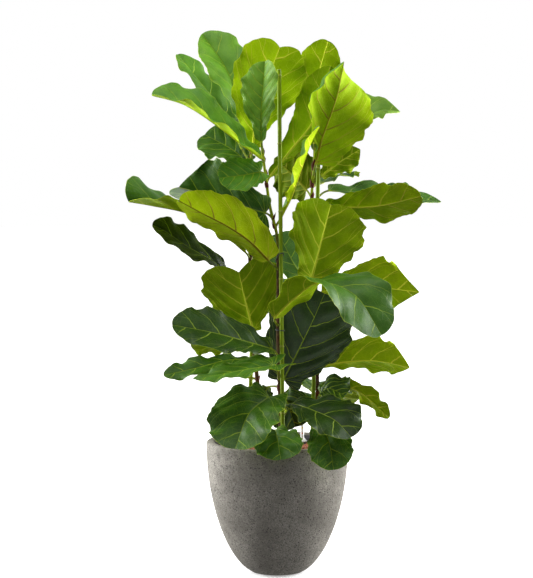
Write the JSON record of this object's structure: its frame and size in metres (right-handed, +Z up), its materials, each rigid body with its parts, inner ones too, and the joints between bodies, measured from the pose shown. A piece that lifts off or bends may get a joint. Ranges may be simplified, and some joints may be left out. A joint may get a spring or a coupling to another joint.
{
  "type": "potted fiddle leaf fig",
  "caption": "Tall indoor fig with big fiddle-shaped leaves on cane-staked stems, in clay granules and an egg-shaped concrete-look pot with a water gauge.",
  "frame": {"origin": "centre of the pot's flat foot, on the floor", "axes": "+Z up the plant, -Y towards the front of the picture, +X to its right"},
  "size_m": [0.8134, 0.5588, 1.3898],
  "materials": {
    "concrete": "matte, fine dark speckle and pits, mottled warm grey",
    "liner_plastic": "satin black",
    "clay": "rough fired clay, red-brown",
    "gauge_white": "satin white with two coloured level marks",
    "gauge_grey": "dark grey",
    "bark": "rough brown bark with dry papery stipules",
    "cane": "green-stained bamboo, satin",
    "wire": "plastic-coated wire, black",
    "leaf_young": "satin, light yellow-green with pale veins",
    "leaf_mature": "satin green, glossy above, matte and paler below, pale veins",
    "leaf_old": "glossy dark green above, matte and paler below, pale veins"
  },
  "bodies": {
    "root": {"pot": "concrete", "liner": "liner_plastic", "granules": "clay", "gauge": "gauge_white", "gauge_collar": "gauge_grey", "stem_front": "bark", "stem_left": "bark", "stem_right": "bark", "cane_front": "cane", "cane_left": "cane", "cane_right": "cane", "tie_front_upper": "wire", "tie_front_lower": "wire", "tie_left": "wire", "leaf_front_01": "leaf_young", "leaf_front_02": "leaf_young", "leaf_front_03": "leaf_young", "leaf_front_04": "leaf_young", "leaf_front_05": "leaf_mature", "leaf_front_06": "leaf_young", "leaf_front_07": "leaf_old", "leaf_front_08": "leaf_mature", "leaf_front_09": "leaf_mature", "leaf_front_10": "leaf_old", "leaf_front_11": "leaf_mature", "leaf_front_12": "leaf_old", "leaf_front_13": "leaf_old", "leaf_front_14": "leaf_old", "leaf_front_15": "leaf_old", "leaf_front_16": "leaf_mature", "leaf_right_01": "leaf_young", "leaf_right_02": "leaf_young", "leaf_right_03": "leaf_young", "leaf_right_04": "leaf_mature", "leaf_right_05": "leaf_mature", "leaf_right_06": "leaf_mature", "leaf_right_07": "leaf_mature", "leaf_right_08": "leaf_mature", "leaf_right_09": "leaf_mature", "leaf_right_10": "leaf_mature", "leaf_right_11": "leaf_mature", "leaf_right_12": "leaf_mature", "leaf_right_13": "leaf_old", "leaf_right_14": "leaf_mature", "leaf_right_15": "leaf_old", "leaf_right_16": "leaf_old", "leaf_right_17": "leaf_mature", "leaf_right_18": "leaf_old", "leaf_left_01": "leaf_young", "leaf_left_02": "leaf_young", "leaf_left_03": "leaf_young", "leaf_left_04": "leaf_mature", "leaf_left_05": "leaf_mature", "leaf_left_06": "leaf_old", "leaf_left_07": "leaf_mature", "leaf_left_08": "leaf_mature", "leaf_left_09": "leaf_mature", "leaf_left_10": "leaf_old", "leaf_left_11": "leaf_mature", "leaf_left_12": "leaf_mature"}
  },
  "joints": []
}
